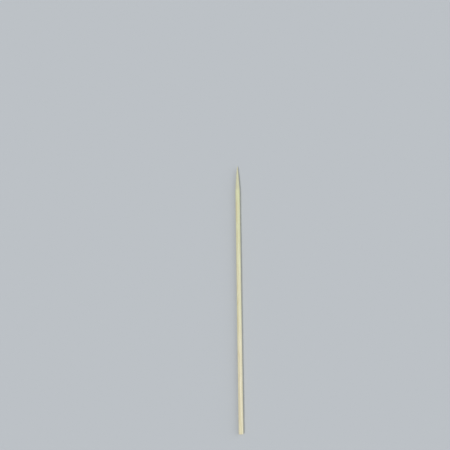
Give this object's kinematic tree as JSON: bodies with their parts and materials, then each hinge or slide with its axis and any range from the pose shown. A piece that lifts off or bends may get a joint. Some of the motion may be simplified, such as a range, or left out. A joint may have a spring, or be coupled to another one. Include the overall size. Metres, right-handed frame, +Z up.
{
  "type": "bamboo skewer",
  "caption": "Round bamboo skewer with a long ground point at one end and a square sawn end, for holding pieces of food together or over heat.",
  "frame": {"origin": "on the surface that the skewer lies on, below the middle of its length", "axes": "+Y along the stick towards the point, +Z up, +X across the stick"},
  "size_m": [0.005, 0.3, 0.005],
  "materials": {
    "bamboo": "natural"
  },
  "bodies": {
    "root": {"bamboo_stick": "bamboo"}
  },
  "joints": []
}
